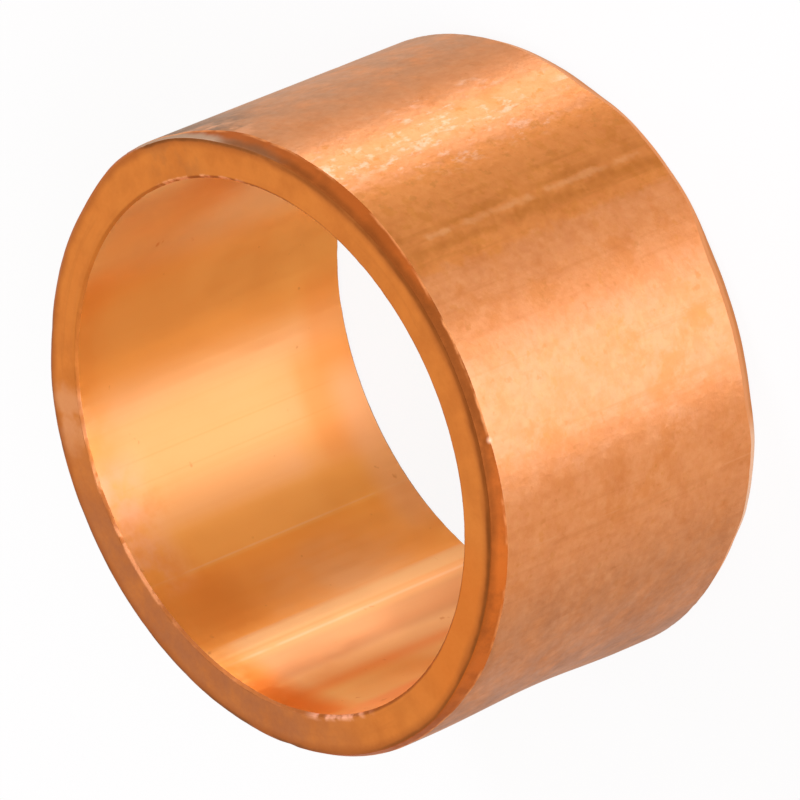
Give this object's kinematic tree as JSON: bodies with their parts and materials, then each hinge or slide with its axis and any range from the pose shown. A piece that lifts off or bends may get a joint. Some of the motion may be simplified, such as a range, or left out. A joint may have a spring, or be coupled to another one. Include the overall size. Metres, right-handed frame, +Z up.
{
  "type": "compression olive",
  "caption": "Short plain copper ring with a straight bore and bevelled ends, squeezed onto a tube to seal a compression fitting.",
  "frame": {"origin": "centre of the lower end face, on the bore axis", "axes": "+Z up along the bore axis; the ring is round about it and alike at both ends"},
  "size_m": [0.0176, 0.0176, 0.0099],
  "materials": {
    "copper": "satin drawn copper with cut ends, lightly tarnished"
  },
  "bodies": {
    "root": {"olive_ring": "copper"}
  },
  "joints": []
}
